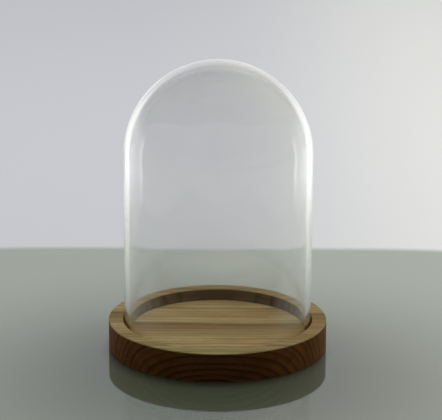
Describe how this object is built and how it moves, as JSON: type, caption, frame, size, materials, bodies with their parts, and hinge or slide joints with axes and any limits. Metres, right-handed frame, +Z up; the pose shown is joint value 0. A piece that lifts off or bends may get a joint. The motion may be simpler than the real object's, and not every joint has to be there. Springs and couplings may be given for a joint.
{
  "type": "bell jar display dome",
  "caption": "Clear glass bell jar with a half-round crown, standing in the recess of a round solid-wood base; the dome lifts off to reach the object on display.",
  "frame": {"origin": "centre of the wooden base's underside, on the surface that it stands on", "axes": "+Z up along the common axis of base and dome, +X along the wood's grain, +Y towards the back"},
  "size_m": [0.14, 0.14, 0.1879],
  "materials": {
    "clear_glass": "clear polished glass with a faint grey-green tint",
    "oiled_wood": "satin, turned and sanded, straight fine grain, grey-brown"
  },
  "bodies": {
    "base": {"wood_base": "oiled_wood"},
    "dome": {"glass_dome": "clear_glass"}
  },
  "joints": [
    {"name": "dome_lift", "type": "slide", "parent": "base", "child": "dome", "axis": [0, 0, 1], "range_m": [0, 0.18]}
  ]
}
